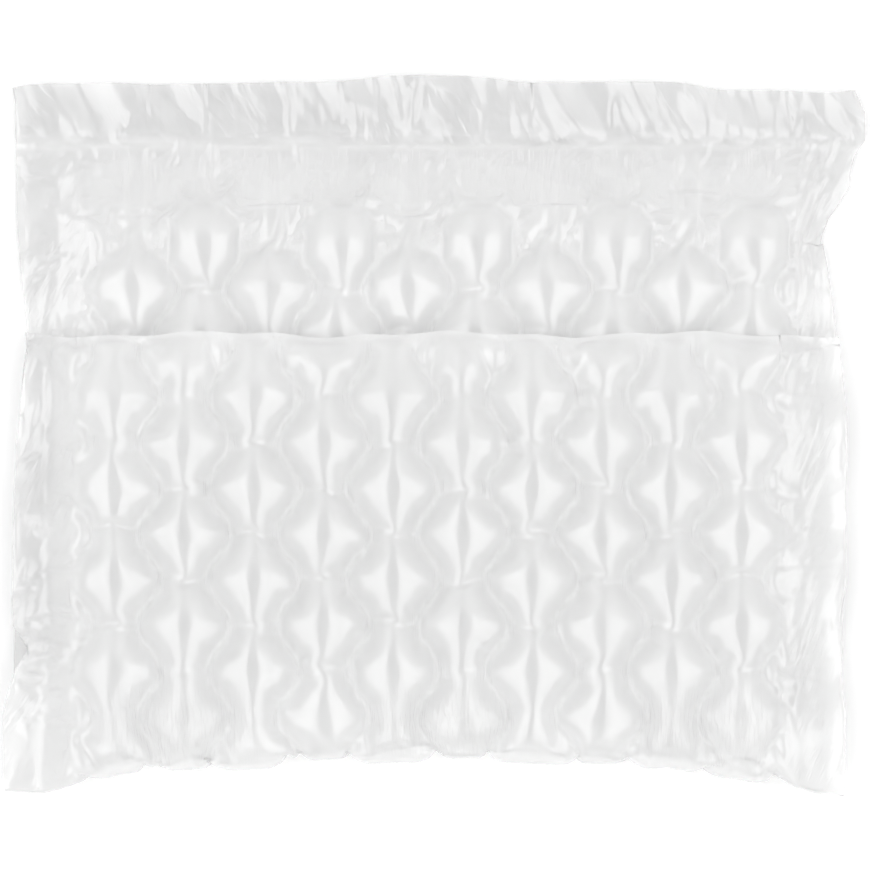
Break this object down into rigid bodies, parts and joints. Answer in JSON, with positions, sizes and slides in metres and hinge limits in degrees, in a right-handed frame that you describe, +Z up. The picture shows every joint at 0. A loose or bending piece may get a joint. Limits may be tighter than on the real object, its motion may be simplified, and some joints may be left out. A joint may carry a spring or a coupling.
{
  "type": "folded quilted air cushion film",
  "caption": "Folded length of inflated quilted air cushion film with staggered bubbles, flat side bands and a plain flap, used to wrap and pad goods in a parcel.",
  "frame": {"origin": "middle of the footprint, on the table that the film lies on", "axes": "+X across the chains of bubbles, +Y along them towards the flap, +Z up"},
  "size_m": [0.301, 0.25, 0.0281],
  "materials": {
    "clear_film": "clear, slightly milky polyethylene film with a soft gloss"
  },
  "bodies": {
    "root": {"quilt_film": "clear_film"}
  },
  "joints": []
}
